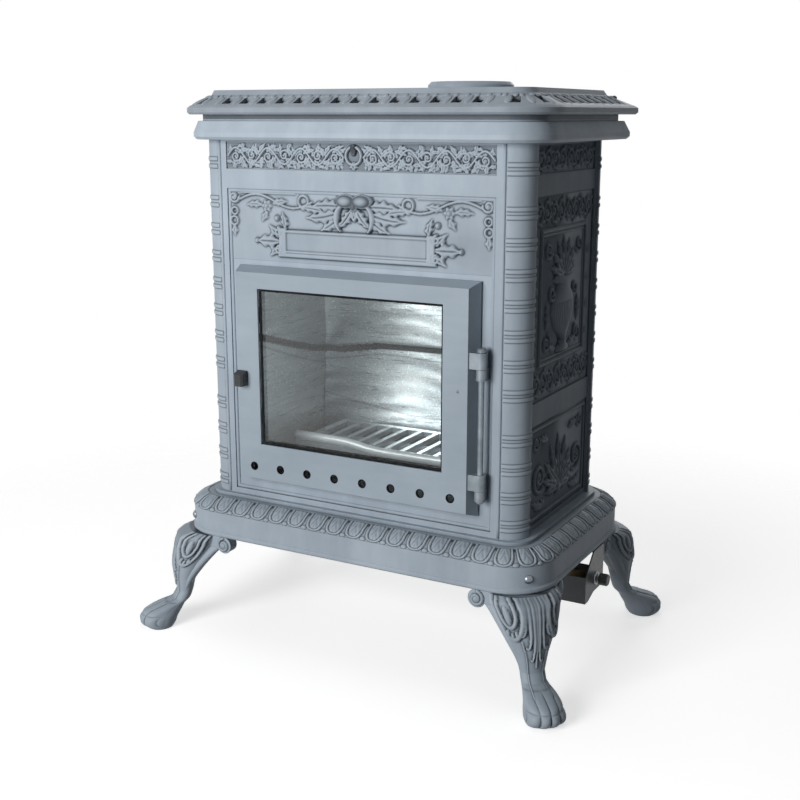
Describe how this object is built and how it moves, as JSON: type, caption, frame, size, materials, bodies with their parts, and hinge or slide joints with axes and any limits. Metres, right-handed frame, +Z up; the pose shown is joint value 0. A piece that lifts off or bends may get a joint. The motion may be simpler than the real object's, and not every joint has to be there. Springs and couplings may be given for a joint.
{
  "type": "gas heater",
  "caption": "Gas heater in the form of a cast-iron parlour stove: glazed steel door, pierced lid with flue collar, moulded plinth on cabriole paw legs, gas tap under the plinth",
  "frame": {"origin": "on the floor under the middle of the four feet", "axes": "+Z up, the door faces -Y, +X is to the right seen from the front"},
  "size_m": [0.701, 0.469, 0.83],
  "materials": {
    "cast_iron": "cast iron with a blue-grey graphite finish, darker in the hollows of the relief",
    "bolt_steel": "plain steel fasteners",
    "bright_steel": "bright, slightly wavy steel sheet",
    "burner_steel": "pale steel",
    "brass": "brass fittings",
    "ceramic": "white glazed ceramic",
    "black_sheet": "black painted sheet steel",
    "black_plastic": "black heat-resistant plastic",
    "hinge_steel": "worn bare steel",
    "black_iron": "black painted iron",
    "door_steel": "smooth blue-grey painted steel",
    "glass": "clear ceramic glass",
    "seal_fibre": "dark braided glass fibre"
  },
  "bodies": {
    "stove": {"plinth": "cast_iron", "leg_front_left": "cast_iron", "leg_front_right": "cast_iron", "leg_rear_left": "cast_iron", "leg_rear_right": "cast_iron", "front_plate": "cast_iron", "side_plate_left": "cast_iron", "side_plate_right": "cast_iron", "back_plate": "cast_iron", "column_front_left": "cast_iron", "column_front_right": "cast_iron", "column_rear_left": "cast_iron", "column_rear_right": "cast_iron", "cornice": "cast_iron", "lid": "cast_iron", "flue_collar": "cast_iron", "leg_bolts": "bolt_steel", "leg_nuts": "bolt_steel", "tie_rods": "bolt_steel", "tie_rod_nuts": "bolt_steel", "gas_box_screws": "bolt_steel", "valve_nut": "bolt_steel", "firebox_floor": "bright_steel", "firebox_left": "bright_steel", "firebox_right": "bright_steel", "firebox_back": "bright_steel", "firebox_hood": "bright_steel", "flue_tube": "bright_steel", "burner_tube": "burner_steel", "burner_saddles": "burner_steel", "fire_grate": "burner_steel", "pilot_bracket": "burner_steel", "thermocouple": "burner_steel", "injector_block": "brass", "pilot_burner": "brass", "gas_valve": "brass", "gas_inlet": "brass", "gas_pipe": "brass", "spark_electrode": "ceramic", "gas_box": "black_sheet", "hinge_bracket_lower": "hinge_steel", "hinge_bracket_upper": "hinge_steel", "hinge_pin": "hinge_steel", "keeper_peg": "hinge_steel"},
    "door": {"door_frame": "door_steel", "door_glass": "glass", "glass_gasket": "seal_fibre", "glass_clips": "bolt_steel", "clip_screws": "bolt_steel", "door_seal": "seal_fibre", "hinge_eye_lower": "hinge_steel", "hinge_eye_upper": "hinge_steel"},
    "latch": {"latch_handle": "black_iron", "latch_spindle": "hinge_steel", "latch_tongue": "hinge_steel"},
    "tap": {"valve_spindle": "hinge_steel"},
    "knob": {"gas_knob": "black_plastic"}
  },
  "joints": [
    {"name": "door_hinge", "type": "hinge", "parent": "stove", "child": "door", "pos_m": [0.203, -0.157, 0.4085], "axis": [0, 0, 1], "range_deg": [0, 115]},
    {"name": "latch_turn", "type": "hinge", "parent": "door", "child": "latch", "pos_m": [-0.178, -0.15, 0.407], "axis": [0, -1, 0], "range_deg": [0, 90]},
    {"name": "tap_turn", "type": "hinge", "parent": "stove", "child": "tap", "pos_m": [0.3, 0.042, 0.111], "axis": [1, 0, 0], "range_deg": [0, 180]},
    {"name": "knob_push", "type": "slide", "parent": "tap", "child": "knob", "axis": [-1, 0, 0], "range_m": [0, 0.004], "stiffness_N_per_m": 600}
  ]
}
